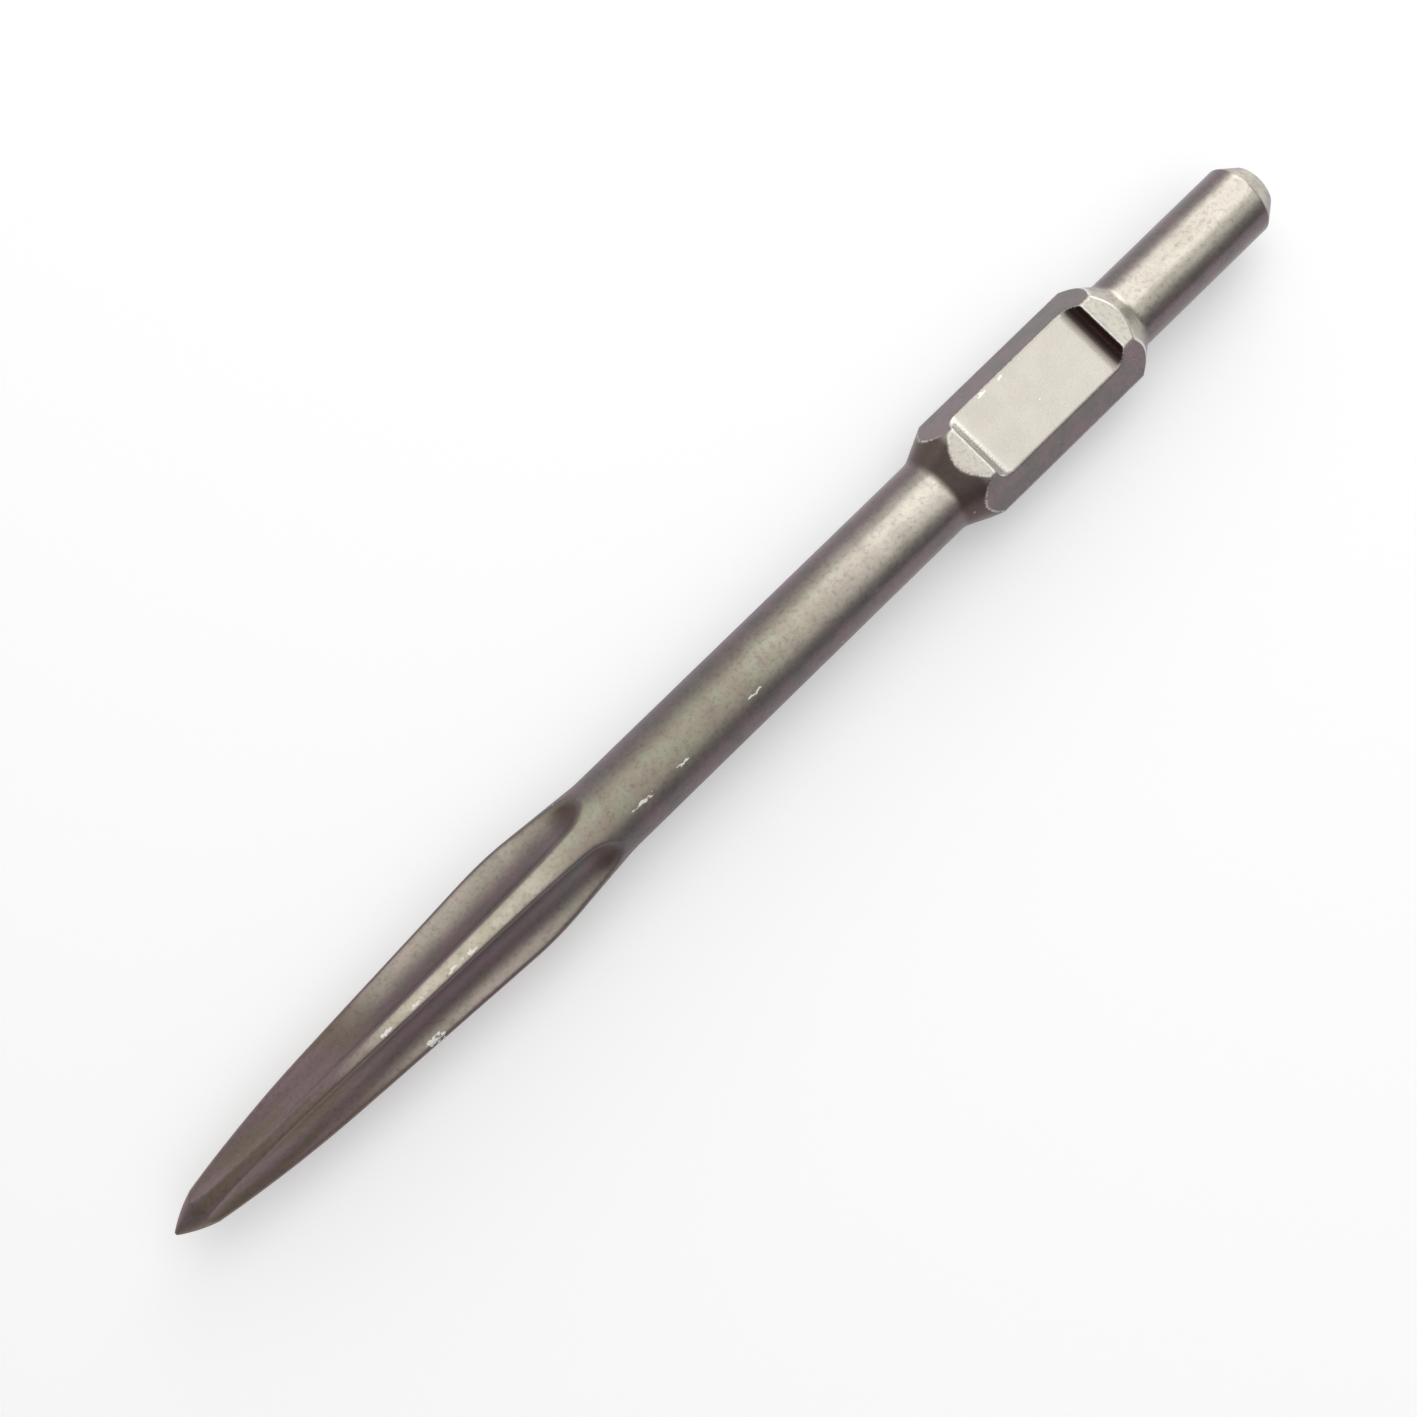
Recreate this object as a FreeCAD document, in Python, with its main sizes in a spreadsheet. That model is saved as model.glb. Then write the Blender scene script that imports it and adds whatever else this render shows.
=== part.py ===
import FreeCAD, Part
import math
import os

import Sketcher
from FreeCAD import BoundBox, Placement, Rotation, Vector

# Pointed chisel for a heavy breaker: one steel forging on a 28.6 mm (1 1/8 inch)
# hexagon shank.
#
# It is drawn along the X axis, with its tip at x = 0 and its struck end at
# x = overall_length, and then laid down the way it comes to rest: the notched flat
# looks up (+Z), the flat below it rests on z = 0, and the origin is under the middle
# of its length.
#
# From the tip backwards: a ground tip, four ribs with a hollow flute between each
# pair, the plain round body, the hexagon collar with cone-turned ends and a retainer
# notch in its upper flat, and the round tail that the hammer strikes.

# Name, value (millimetres, or degrees for angles and the turn) and meaning.
DRIVING_SIZES = [
    ("overall_length", 400.0, "tip to struck end"),
    ("body_diameter", 23.2, "round bar between point and collar"),
    ("tip_flat_diameter", 1.0, "blunt end of the ground tip"),
    ("tip_length", 10.0, "ground tip, along the axis"),
    ("tip_base_diameter", 11.2, "where the ground tip meets the ribs"),
    ("tip_bulge_radius", 38.0, "lengthwise round of the ground tip"),
    ("nose_length", 55.0, "tip to where the curved nose becomes a straight taper"),
    ("nose_diameter", 21.4, "over the ribs at the end of the nose"),
    ("rib_peak_station", 119.0, "tip to where the ribs stand highest"),
    ("rib_peak_diameter", 28.2, "over the ribs at their highest"),
    ("rib_peak_radius", 110.0, "lengthwise round of the ribs at their highest"),
    ("rib_fall_angle", 5.25, "degrees, fall of the ribs behind their highest"),
    ("rib_runout_radius", 40.0, "lengthwise hollow where the ribs sink into the body"),
    ("point_turn", 5.5, "degrees that the point is turned against the hexagon"),
    ("flute_count", 4.0, "flutes, and so ribs"),
    ("flute_radius", 10.5, "hollow of a flute, across the chisel"),
    ("flute_front_depth", 0.4, "flute below the ribs at the base of the ground tip"),
    ("flute_rear_depth", 5.4, "flute below the ribs where they stand highest"),
    ("flute_end_length", 30.5, "highest ribs to where a flute breaks out of the body"),
    ("flute_end_radius", 20.0, "lengthwise round of a flute's closed end"),
    ("rib_edge_radius", 1.6, "rounding of the rib edges"),
    ("least_crest_angle", 2.5, "half the crest that this leaves at least where the nose ends"),
    ("across_flats", 28.6, "hexagon collar, the size that the breaker takes"),
    ("corner_land", 0.15, "how much is turned off the hexagon's corners"),
    ("hex_length", 54.0, "full corners of the hexagon"),
    ("front_cone_angle", 25.0, "degrees, turned end of the collar towards the body"),
    ("rear_cone_angle", 39.0, "degrees, turned end of the collar towards the tail"),
    ("front_root_radius", 6.0, "hollow between body and collar"),
    ("rear_root_radius", 3.5, "hollow between collar and tail"),
    ("notch_length", 48.0, "retainer notch, wall to wall"),
    ("notch_depth", 4.6, "notch floor below the flat"),
    ("cutter_clearance", 0.4, "by how much the cutter's radius is more than the depth"),
    ("notch_edge_radius", 0.7, "broken edges of the notch"),
    ("tail_length", 60.2, "full corners of the hexagon to the struck end"),
    ("tail_diameter", 22.0, "round tail"),
    ("end_chamfer_length", 5.5, "cone at the struck end"),
    ("end_face_diameter", 14.0, "flat struck face"),
    ("end_edge_radius", 0.8, "rounding of the end cone's two edges"),
]

# Formulas that more than one dimension of the drawing uses.
CORNER_RADIUS = "sizes.across_flats / 2 / cos(30 deg) - sizes.corner_land"
HEX_REAR = "sizes.overall_length - sizes.tail_length"
HEX_FRONT = HEX_REAR + " - sizes.hex_length"
HEX_MIDDLE = HEX_REAR + " - sizes.hex_length / 2"
CORNER_DEPTH = f"({CORNER_RADIUS} - sizes.across_flats / 2)"
REAR_CONE_RUN = f"{CORNER_DEPTH} / tan(sizes.rear_cone_angle * 1 deg)"
FRONT_CONE_RUN = f"{CORNER_DEPTH} / tan(sizes.front_cone_angle * 1 deg)"
FLAT_MIDDLE = f"{HEX_MIDDLE} + ({REAR_CONE_RUN} - {FRONT_CONE_RUN}) / 2"
FLUTE_END = "sizes.rib_peak_station + sizes.flute_end_length"
FLUTE_FRONT_FLOOR = "sizes.tip_base_diameter / 2 - sizes.flute_front_depth"
FLUTE_REAR_FLOOR = "sizes.rib_peak_diameter / 2 - sizes.flute_rear_depth"

# The rounding of a rib's edge touches the round of the blank and the hollow of the flute.
# The ribs are narrow where the nose ends, so there the crest's width limits it.
FLUTE_RISE = (f"({FLUTE_REAR_FLOOR} - ({FLUTE_FRONT_FLOOR}))"
              " / (sizes.rib_peak_station - sizes.tip_length)")
NOSE_FLUTE_AXIS = (f"({FLUTE_FRONT_FLOOR} + sizes.flute_radius"
                   f" + {FLUTE_RISE} * (sizes.nose_length - sizes.tip_length))")
CREST_EDGE = (f"({NOSE_FLUTE_AXIS}"
              " * cos((180 / sizes.flute_count - sizes.least_crest_angle) * 1 deg))")
WIDEST_ROUNDING = (
    f"((sizes.nose_diameter / 2)^2 + {NOSE_FLUTE_AXIS}^2 - sizes.flute_radius^2"
    f" - sizes.nose_diameter * {CREST_EDGE})"
    f" / (sizes.nose_diameter + 2 * sizes.flute_radius - 2 * {CREST_EDGE})"
)
NOTCH_CORNER = "(sizes.notch_depth + sizes.cutter_clearance)"

NODE = "pointed_chisel"
HEX_SIDES = 6
TOUCHING = 1e-4
ALONG = Vector(1, 0, 0)

# How a sketch numbers the points of an element, its own X axis and its origin.
START, END, CENTRE = 1, 2, 3
X_AXIS, ORIGIN_POINT = -1, (-1, 1)


def polar(length, angle):
    """A vector of this length at this angle from +X."""
    return Vector(length * math.cos(angle), length * math.sin(angle), 0)


def make_sheet(doc):
    """Put every driving size in a cell of its own, under its alias."""
    sheet = doc.addObject("Spreadsheet::Sheet", "sizes")
    for row, (alias, value, meaning) in enumerate(DRIVING_SIZES, start=1):
        sheet.set(f"A{row}", alias)
        sheet.set(f"B{row}", str(value))
        sheet.set(f"C{row}", meaning)
        sheet.setAlias(f"B{row}", alias)
    doc.recompute()
    return sheet


def base_plane(body, role):
    """One of the body's own base planes."""
    return next(plane for plane in body.Origin.OriginFeatures if plane.Role == role)


def new_sketch(body, name, role):
    """An empty sketch on one of the body's base planes."""
    sketch = body.newObject("Sketcher::SketchObject", name)
    sketch.AttachmentSupport = [(base_plane(body, role), "")]
    sketch.MapMode = "FlatFace"
    return sketch


def line(start, end):
    """A straight sketch element."""
    return Part.LineSegment(start, end)


def arc(start, centre, end):
    """The shorter arc from start to end round a centre."""
    middle = (start + end) / 2 - centre
    middle.normalize()
    return Part.Arc(start, centre + middle * (start - centre).Length, end)


def meeting_ends(sketch, first, second):
    """The ends at which two neighbouring elements touch."""
    for first_end in (START, END):
        for second_end in (START, END):
            gap = sketch.getPoint(first, first_end) - sketch.getPoint(second, second_end)
            if gap.Length < TOUCHING:
                return first_end, second_end
    raise RuntimeError(f"{sketch.Name}: elements {first} and {second} do not touch")


def draw_loop(sketch, elements):
    """Draw a closed outline; each element says how it meets the next one."""
    for geometry, _ in elements:
        sketch.addGeometry(geometry, False)
    for index, (_, meeting) in enumerate(elements):
        following = (index + 1) % len(elements)
        first_end, second_end = meeting_ends(sketch, index, following)
        sketch.addConstraint(
            Sketcher.Constraint(meeting, index, first_end, following, second_end)
        )


def bind(sketch, constraint, formula):
    """Add a dimension at its drawn value, then let the sheet drive it."""
    index = sketch.addConstraint(constraint)
    sketch.setExpression(f"Constraints[{index}]", formula)


def hold_x(sketch, element, end, formula):
    """Drive a point's distance from the sketch origin, along the chisel."""
    drawn = sketch.getPoint(element, end).x
    bind(sketch, Sketcher.Constraint("DistanceX", *ORIGIN_POINT, element, end, drawn), formula)


def hold_y(sketch, element, end, formula):
    """Drive a point's distance from the sketch origin, out from the axis."""
    drawn = sketch.getPoint(element, end).y
    bind(sketch, Sketcher.Constraint("DistanceY", *ORIGIN_POINT, element, end, drawn), formula)


def hold_radius(sketch, element, formula):
    """Drive the radius of an arc or a circle."""
    drawn = sketch.Geometry[element].Radius
    bind(sketch, Sketcher.Constraint("Radius", element, drawn), formula)


def hold_slope(sketch, element, formula):
    """Drive the angle of a line that rises or falls along the chisel."""
    run = sketch.getPoint(element, END) - sketch.getPoint(element, START)
    drawn = math.atan2(run.y, run.x)
    bind(sketch, Sketcher.Constraint("Angle", element, drawn), formula)


def forging_outline(body, sheet):
    """Half the chisel's lengthwise outline, over the ribs and over the hexagon's corners."""
    body_radius = sheet.body_diameter / 2
    tail_radius = sheet.tail_diameter / 2
    corner_radius = sheet.across_flats / 2 / math.cos(math.pi / HEX_SIDES) - sheet.corner_land
    hex_rear = sheet.overall_length - sheet.tail_length
    front_cone = math.radians(sheet.front_cone_angle)
    rear_cone = math.radians(sheet.rear_cone_angle)

    tip = Vector(0, sheet.tip_flat_diameter / 2, 0)
    tip_base = Vector(sheet.tip_length, sheet.tip_base_diameter / 2, 0)
    nose_end = Vector(sheet.nose_length, sheet.nose_diameter / 2, 0)
    struck_face = Vector(sheet.overall_length, sheet.end_face_diameter / 2, 0)

    # The ground tip's arc passes through both of its ends and bulges outwards.
    half_chord = (tip_base - tip) / 2
    tip_depth = math.sqrt(sheet.tip_bulge_radius**2 - half_chord.Length**2)
    inward = Vector(half_chord.y, -half_chord.x, 0).normalize()
    tip_centre = (tip + tip_base) / 2 + inward * tip_depth

    # A straight taper runs from the nose to touch the round of the rib peak.
    peak_radius = sheet.rib_peak_radius
    peak_centre = Vector(sheet.rib_peak_station, sheet.rib_peak_diameter / 2 - peak_radius, 0)
    to_peak = peak_centre - nose_end
    reach = math.sqrt(to_peak.Length**2 - peak_radius**2)
    rise = math.atan2(to_peak.y, to_peak.x) + math.asin(peak_radius / to_peak.Length)
    peak_start = nose_end + polar(reach, rise)

    # The nose's arc touches that taper and starts at the base of the ground tip.
    below = polar(1, rise - math.pi / 2)
    chord = tip_base - nose_end
    nose_centre = nose_end + below * (chord.Length**2 / 2 / chord.dot(below))

    # Another straight falls from the rib peak to the hollow that ends on the body.
    fall = math.radians(sheet.rib_fall_angle)
    peak_end = peak_centre + polar(peak_radius, math.pi / 2 - fall)
    runout_height = body_radius + sheet.rib_runout_radius
    runout_rise = runout_height - sheet.rib_runout_radius * math.cos(fall)
    fall_run = (peak_end.y - runout_rise) / math.tan(fall)
    runout_start = Vector(peak_end.x + fall_run, runout_rise, 0)
    runout_centre = runout_start + polar(sheet.rib_runout_radius, math.pi / 2 - fall)
    runout_end = Vector(runout_centre.x, body_radius, 0)

    # Both turned cones start at the hexagon's corners and end in a hollow root.
    hex_front_corner = Vector(hex_rear - sheet.hex_length, corner_radius, 0)
    hex_rear_corner = Vector(hex_rear, corner_radius, 0)
    front_step = (corner_radius - body_radius) / math.tan(front_cone)
    rear_step = (corner_radius - tail_radius) / math.tan(rear_cone)
    front_corner = Vector(hex_front_corner.x - front_step, body_radius, 0)
    rear_corner = Vector(hex_rear_corner.x + rear_step, tail_radius, 0)
    front_reach = sheet.front_root_radius * math.tan(front_cone / 2)
    rear_reach = sheet.rear_root_radius * math.tan(rear_cone / 2)
    front_root_start = front_corner - polar(front_reach, 0)
    front_root_centre = front_root_start + Vector(0, sheet.front_root_radius, 0)
    front_root_end = front_corner + polar(front_reach, front_cone)
    rear_root_start = rear_corner - polar(rear_reach, -rear_cone)
    rear_root_end = rear_corner + polar(rear_reach, 0)
    rear_root_centre = rear_root_end + Vector(0, sheet.rear_root_radius, 0)
    chamfer_start = Vector(sheet.overall_length - sheet.end_chamfer_length, tail_radius, 0)
    axis_end = Vector(sheet.overall_length, 0, 0)

    sketch = new_sketch(body, "forging_outline", "XZ_Plane")
    (tip_flat, tip_arc, nose_arc, taper, peak_arc, fall_line, runout_arc, body_line,
     front_root, front_slope, corner_line, rear_slope, rear_root, tail_line, chamfer,
     face_line, axis_line) = range(17)
    draw_loop(sketch, [
        (line(Vector(), tip), "Coincident"),
        (arc(tip, tip_centre, tip_base), "Coincident"),
        (arc(tip_base, nose_centre, nose_end), "Tangent"),
        (line(nose_end, peak_start), "Tangent"),
        (arc(peak_start, peak_centre, peak_end), "Tangent"),
        (line(peak_end, runout_start), "Tangent"),
        (arc(runout_start, runout_centre, runout_end), "Tangent"),
        (line(runout_end, front_root_start), "Tangent"),
        (arc(front_root_start, front_root_centre, front_root_end), "Tangent"),
        (line(front_root_end, hex_front_corner), "Coincident"),
        (line(hex_front_corner, hex_rear_corner), "Coincident"),
        (line(hex_rear_corner, rear_root_start), "Tangent"),
        (arc(rear_root_start, rear_root_centre, rear_root_end), "Tangent"),
        (line(rear_root_end, chamfer_start), "Coincident"),
        (line(chamfer_start, struck_face), "Coincident"),
        (line(struck_face, axis_end), "Coincident"),
        (line(axis_end, Vector()), "Coincident"),
    ])
    sketch.addConstraint(Sketcher.Constraint("Coincident", tip_flat, START, *ORIGIN_POINT))
    sketch.addConstraint(Sketcher.Constraint("PointOnObject", face_line, END, X_AXIS))
    for upright in (tip_flat, face_line):
        sketch.addConstraint(Sketcher.Constraint("Vertical", upright))
    for level in (body_line, corner_line, tail_line):
        sketch.addConstraint(Sketcher.Constraint("Horizontal", level))

    tip_base_end, _ = meeting_ends(sketch, tip_arc, nose_arc)
    hold_y(sketch, tip_flat, END, "sizes.tip_flat_diameter / 2")
    hold_radius(sketch, tip_arc, "sizes.tip_bulge_radius")
    hold_x(sketch, tip_arc, tip_base_end, "sizes.tip_length")
    hold_y(sketch, tip_arc, tip_base_end, "sizes.tip_base_diameter / 2")
    hold_x(sketch, taper, START, "sizes.nose_length")
    hold_y(sketch, taper, START, "sizes.nose_diameter / 2")
    hold_radius(sketch, peak_arc, "sizes.rib_peak_radius")
    hold_x(sketch, peak_arc, CENTRE, "sizes.rib_peak_station")
    hold_y(sketch, peak_arc, CENTRE, "sizes.rib_peak_diameter / 2 - sizes.rib_peak_radius")
    hold_radius(sketch, runout_arc, "sizes.rib_runout_radius")
    hold_slope(sketch, fall_line, "-sizes.rib_fall_angle * 1 deg")
    hold_y(sketch, body_line, START, "sizes.body_diameter / 2")
    hold_radius(sketch, front_root, "sizes.front_root_radius")
    hold_slope(sketch, front_slope, "sizes.front_cone_angle * 1 deg")
    hold_x(sketch, corner_line, START, HEX_FRONT)
    hold_y(sketch, corner_line, START, CORNER_RADIUS)
    hold_x(sketch, corner_line, END, HEX_REAR)
    hold_slope(sketch, rear_slope, "-sizes.rear_cone_angle * 1 deg")
    hold_radius(sketch, rear_root, "sizes.rear_root_radius")
    hold_y(sketch, tail_line, START, "sizes.tail_diameter / 2")
    hold_x(sketch, chamfer, START, "sizes.overall_length - sizes.end_chamfer_length")
    hold_x(sketch, face_line, START, "sizes.overall_length")
    hold_y(sketch, face_line, START, "sizes.end_face_diameter / 2")
    return sketch


def turn_forging(body, outline):
    """Turn the outline into the full blank, still round at the collar."""
    blank = body.newObject("PartDesign::Revolution", "forging")
    blank.Profile = outline
    blank.ReferenceAxis = (outline, ["H_Axis"])
    blank.Angle = 360
    return blank


def cut_flutes(body, sheet):
    """Sink the first flute as a long rounded hollow, then repeat it round the axis."""
    front_floor = sheet.tip_base_diameter / 2 - sheet.flute_front_depth
    rear_floor = sheet.rib_peak_diameter / 2 - sheet.flute_rear_depth
    flute_end = sheet.rib_peak_station + sheet.flute_end_length
    front = Vector(sheet.tip_length, front_floor, 0)
    rear = Vector(sheet.rib_peak_station, rear_floor, 0)
    breakout = Vector(flute_end, sheet.body_diameter / 2, 0)
    end_radius = sheet.flute_end_radius
    along = (rear - front).normalize()
    outward = Vector(-along.y, along.x, 0)
    lift = (breakout - front).dot(outward)
    floor_length = (breakout - front).dot(along)
    floor_length -= math.sqrt(end_radius**2 - (end_radius - lift)**2)
    nose_length = math.sqrt(end_radius**2 - (end_radius - sheet.flute_radius)**2)
    floor_start = front - along * (2 * sheet.tip_length / along.x)
    floor_end = front + along * floor_length
    nose_centre = floor_end + outward * end_radius
    nose_tip = floor_end + along * nose_length + outward * sheet.flute_radius
    axis_start = floor_start + outward * sheet.flute_radius

    sketch = new_sketch(body, "flute_outline", "XZ_Plane")
    sketch.AttachmentOffset = Placement(Vector(), Rotation(Vector(1, 0, 0), 1))
    sketch.setExpression(".AttachmentOffset.Rotation.Angle",
                         "(sizes.point_turn + 180 / sizes.flute_count) * 1 deg")
    floor_line, nose_arc, centre_line, front_wall = range(4)
    draw_loop(sketch, [
        (line(floor_start, floor_end), "Tangent"),
        (arc(floor_end, nose_centre, nose_tip), "Coincident"),
        (line(nose_tip, axis_start), "Coincident"),
        (line(axis_start, floor_start), "Coincident"),
    ])
    sketch.addConstraint(Sketcher.Constraint("Parallel", floor_line, centre_line))
    sketch.addConstraint(Sketcher.Constraint("Perpendicular", floor_line, front_wall))
    bind(sketch, Sketcher.Constraint("Distance", front_wall, sheet.flute_radius),
         "sizes.flute_radius")
    hold_x(sketch, floor_line, START, "-sizes.tip_length")
    hold_radius(sketch, nose_arc, "sizes.flute_end_radius")
    for point, element, station, height in (
        (front, floor_line, "sizes.tip_length", FLUTE_FRONT_FLOOR),
        (rear, floor_line, "sizes.rib_peak_station", FLUTE_REAR_FLOOR),
        (breakout, nose_arc, FLUTE_END, "sizes.body_diameter / 2"),
    ):
        mark = sketch.addGeometry(Part.Point(point), True)
        sketch.addConstraint(Sketcher.Constraint("PointOnObject", mark, START, element))
        hold_x(sketch, mark, START, station)
        hold_y(sketch, mark, START, height)
    spin_axis = sketch.addGeometry(line(nose_tip, axis_start), True)
    for end in (START, END):
        sketch.addConstraint(
            Sketcher.Constraint("Coincident", spin_axis, end, centre_line, end)
        )

    flute = body.newObject("PartDesign::Groove", "flute")
    flute.Profile = sketch
    flute.ReferenceAxis = (sketch, ["Axis0"])
    flute.Angle = 360
    pattern = body.newObject("PartDesign::PolarPattern", "flutes")
    pattern.Originals = [flute]
    pattern.Axis = (base_plane(body, "X_Axis"), [""])
    pattern.Angle = 360
    pattern.setExpression("Occurrences", "sizes.flute_count")
    body.Tip = pattern
    return pattern


def cut_hexagon(body, sheet):
    """Cut away everything outside the hexagon, over the length of the collar."""
    sketch = new_sketch(body, "hexagon", "YZ_Plane")
    sketch.setExpression(".AttachmentOffset.Base.z", HEX_MIDDLE)
    corner = sheet.across_flats / 2 / math.cos(math.pi / HEX_SIDES)
    corners = [polar(corner, math.tau * side / HEX_SIDES) for side in range(HEX_SIDES)]
    draw_loop(sketch, [
        (line(corners[side - 1], corners[side]), "Coincident") for side in range(HEX_SIDES)
    ])
    for side in range(1, HEX_SIDES):
        sketch.addConstraint(Sketcher.Constraint("Equal", 0, side))
    guide = sketch.addGeometry(Part.Circle(Vector(), Vector(0, 0, 1), corner), True)
    sketch.addConstraint(Sketcher.Constraint("Coincident", guide, CENTRE, *ORIGIN_POINT))
    for side in range(HEX_SIDES):
        sketch.addConstraint(Sketcher.Constraint("PointOnObject", side, START, guide))
    upper_side = 2
    sketch.addConstraint(Sketcher.Constraint("Horizontal", upper_side))
    hold_y(sketch, upper_side, START, "sizes.across_flats / 2")
    rim = sketch.addGeometry(Part.Circle(Vector(), Vector(0, 0, 1), sheet.across_flats), False)
    sketch.addConstraint(Sketcher.Constraint("Coincident", rim, CENTRE, *ORIGIN_POINT))
    hold_radius(sketch, rim, "sizes.across_flats")

    cut = body.newObject("PartDesign::Pocket", "hexagon_flats")
    cut.Profile = sketch
    cut.Midplane = True
    cut.setExpression("Length", "sizes.hex_length + sizes.across_flats")
    return cut


def cut_notch(body, sheet):
    """Mill the retainer notch across the upper flat, midway along it."""
    flat = sheet.across_flats / 2
    floor = flat - sheet.notch_depth
    corner = sheet.notch_depth + sheet.cutter_clearance
    half = sheet.notch_length / 2
    top = flat + corner
    left_centre = Vector(corner - half, floor + corner, 0)
    right_centre = Vector(half - corner, floor + corner, 0)
    left_wall = Vector(-half, floor + corner, 0)
    right_wall = Vector(half, floor + corner, 0)
    left_floor = Vector(corner - half, floor, 0)
    right_floor = Vector(half - corner, floor, 0)
    left_top = Vector(-half, top, 0)
    right_top = Vector(half, top, 0)

    sketch = new_sketch(body, "notch_outline", "XZ_Plane")
    sketch.setExpression(".AttachmentOffset.Base.x", FLAT_MIDDLE)
    floor_line, right_arc, right_side, top_line, left_side, left_arc = range(6)
    draw_loop(sketch, [
        (line(left_floor, right_floor), "Tangent"),
        (arc(right_floor, right_centre, right_wall), "Tangent"),
        (line(right_wall, right_top), "Coincident"),
        (line(right_top, left_top), "Coincident"),
        (line(left_top, left_wall), "Tangent"),
        (arc(left_wall, left_centre, left_floor), "Tangent"),
    ])
    for upright in (right_side, left_side):
        sketch.addConstraint(Sketcher.Constraint("Vertical", upright))
    for level in (floor_line, top_line):
        sketch.addConstraint(Sketcher.Constraint("Horizontal", level))
    sketch.addConstraint(Sketcher.Constraint("Equal", right_arc, left_arc))
    hold_radius(sketch, right_arc, NOTCH_CORNER)
    hold_x(sketch, right_side, END, "sizes.notch_length / 2")
    hold_x(sketch, left_side, START, "-sizes.notch_length / 2")
    hold_y(sketch, floor_line, START, "sizes.across_flats / 2 - sizes.notch_depth")
    hold_y(sketch, top_line, START, f"sizes.across_flats / 2 + {NOTCH_CORNER}")

    cut = body.newObject("PartDesign::Pocket", "retainer_notch")
    cut.Profile = sketch
    cut.Midplane = True
    cut.setExpression("Length", "sizes.across_flats * 2")
    return cut


def is_turned(face):
    """Whether a face was turned about the chisel's own axis, or is square to it."""
    surface = face.Surface
    axis = getattr(surface, "Axis", None) or getattr(surface, "Direction", None)
    return axis is None or axis.isParallel(ALONG, TOUCHING)


def edges_between(shape, is_first_kind):
    """The names of the edges where one kind of face meets all the others."""
    first = []
    others = []
    for face in shape.Faces:
        (first if is_first_kind(face) else others).extend(face.Edges)
    return [
        f"Edge{number}" for number, edge in enumerate(shape.Edges, start=1)
        if any(edge.isSame(other) for other in first)
        and any(edge.isSame(other) for other in others)
    ]


def round_edges(body, name, base, edges, radius):
    """Round some edges of the solid so far."""
    rounding = body.newObject("PartDesign::Fillet", name)
    rounding.Base = (base, edges)
    rounding.setExpression("Radius", radius)
    return rounding


def round_rib_edges(body, fluted):
    """Round the edges between the flutes and the outside of the ribs."""
    edges = edges_between(fluted.Shape, is_turned)
    return round_edges(body, "rounded_ribs", fluted, edges,
                       f"min(sizes.rib_edge_radius; {WIDEST_ROUNDING})")


def break_notch_edges(body, sheet, notched):
    """Take the sharpness off all edges round the notch: its faces fill no more than its cut."""
    flat = sheet.across_flats / 2
    middle = notched.Profile[0].AttachmentOffset.Base.x
    half = sheet.notch_length / 2
    milled = BoundBox(middle - half, -sheet.across_flats, flat - sheet.notch_depth,
                      middle + half, sheet.across_flats, flat)
    milled.enlarge(TOUCHING)
    edges = edges_between(notched.Shape, lambda face: milled.isInside(face.BoundBox))
    return round_edges(body, "broken_notch_edges", notched, edges, "sizes.notch_edge_radius")


def round_struck_end(body, sheet, shank):
    """Round the two edges of the cone at the struck end."""
    cone_start = sheet.overall_length - sheet.end_chamfer_length
    edges = [
        f"Edge{number}" for number, edge in enumerate(shank.Shape.Edges, start=1)
        if isinstance(edge.Curve, Part.Circle)
        and edge.Curve.Center.x > cone_start - TOUCHING
    ]
    return round_edges(body, "rounded_struck_end", shank, edges, "sizes.end_edge_radius")


def lay_down(body):
    """Put the origin under the middle of the chisel, on the plane that it lies on."""
    body.setExpression(".Placement.Base.x", "-sizes.overall_length / 2")
    body.setExpression(".Placement.Base.z",
                       "max(sizes.across_flats; sizes.rib_peak_diameter) / 2")


def make_chisel(doc, sheet):
    """Build the one forging, feature by feature."""
    body = doc.addObject("PartDesign::Body", NODE)
    body.Label = NODE
    outline = forging_outline(body, sheet)
    turn_forging(body, outline)
    flutes = cut_flutes(body, sheet)
    doc.recompute()
    round_rib_edges(body, flutes)
    cut_hexagon(body, sheet)
    notch = cut_notch(body, sheet)
    doc.recompute()
    shank = break_notch_edges(body, sheet, notch)
    doc.recompute()
    round_struck_end(body, sheet, shank)
    lay_down(body)
    doc.recompute()
    return body


def check(doc, body):
    """Stop if any feature failed, or if the chisel isn't one sound solid."""
    failed = [thing.Label for thing in doc.Objects
              if "Invalid" in thing.State or "Error" in thing.State]
    if failed:
        raise RuntimeError("These failed: " + ", ".join(failed))
    loose = [thing.Label for thing in doc.Objects
             if thing.isDerivedFrom("Sketcher::SketchObject") and not thing.FullyConstrained]
    if loose:
        raise RuntimeError("These sketches are not fully held: " + ", ".join(loose))
    shape = body.Shape
    if shape.isNull() or not shape.isValid() or len(shape.Solids) != 1:
        raise RuntimeError(f"{body.Label} is not one valid solid")
    previous = None
    for feature in body.Group:
        if feature.isDerivedFrom("PartDesign::Feature"):
            volume = feature.Shape.Volume
            if previous is not None and volume >= previous:
                raise RuntimeError(f"{feature.Label} takes nothing away")
            print(f"{feature.Label}: {volume:.0f} mm3")
            previous = volume


def export(body):
    """Write the part to the file that its label names."""
    os.makedirs("parts", exist_ok=True)
    body.Shape.exportStep(f"parts/{body.Label}.step")
    box = body.Shape.optimalBoundingBox()
    print(f"{body.Label}: x {box.XMin:.2f} to {box.XMax:.2f}, "
          f"y {box.YMin:.2f} to {box.YMax:.2f}, z {box.ZMin:.3f} to {box.ZMax:.2f}")


document = FreeCAD.newDocument("chisel")
sizes = make_sheet(document)
chisel = make_chisel(document, sizes)
check(document, chisel)
export(chisel)
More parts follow.
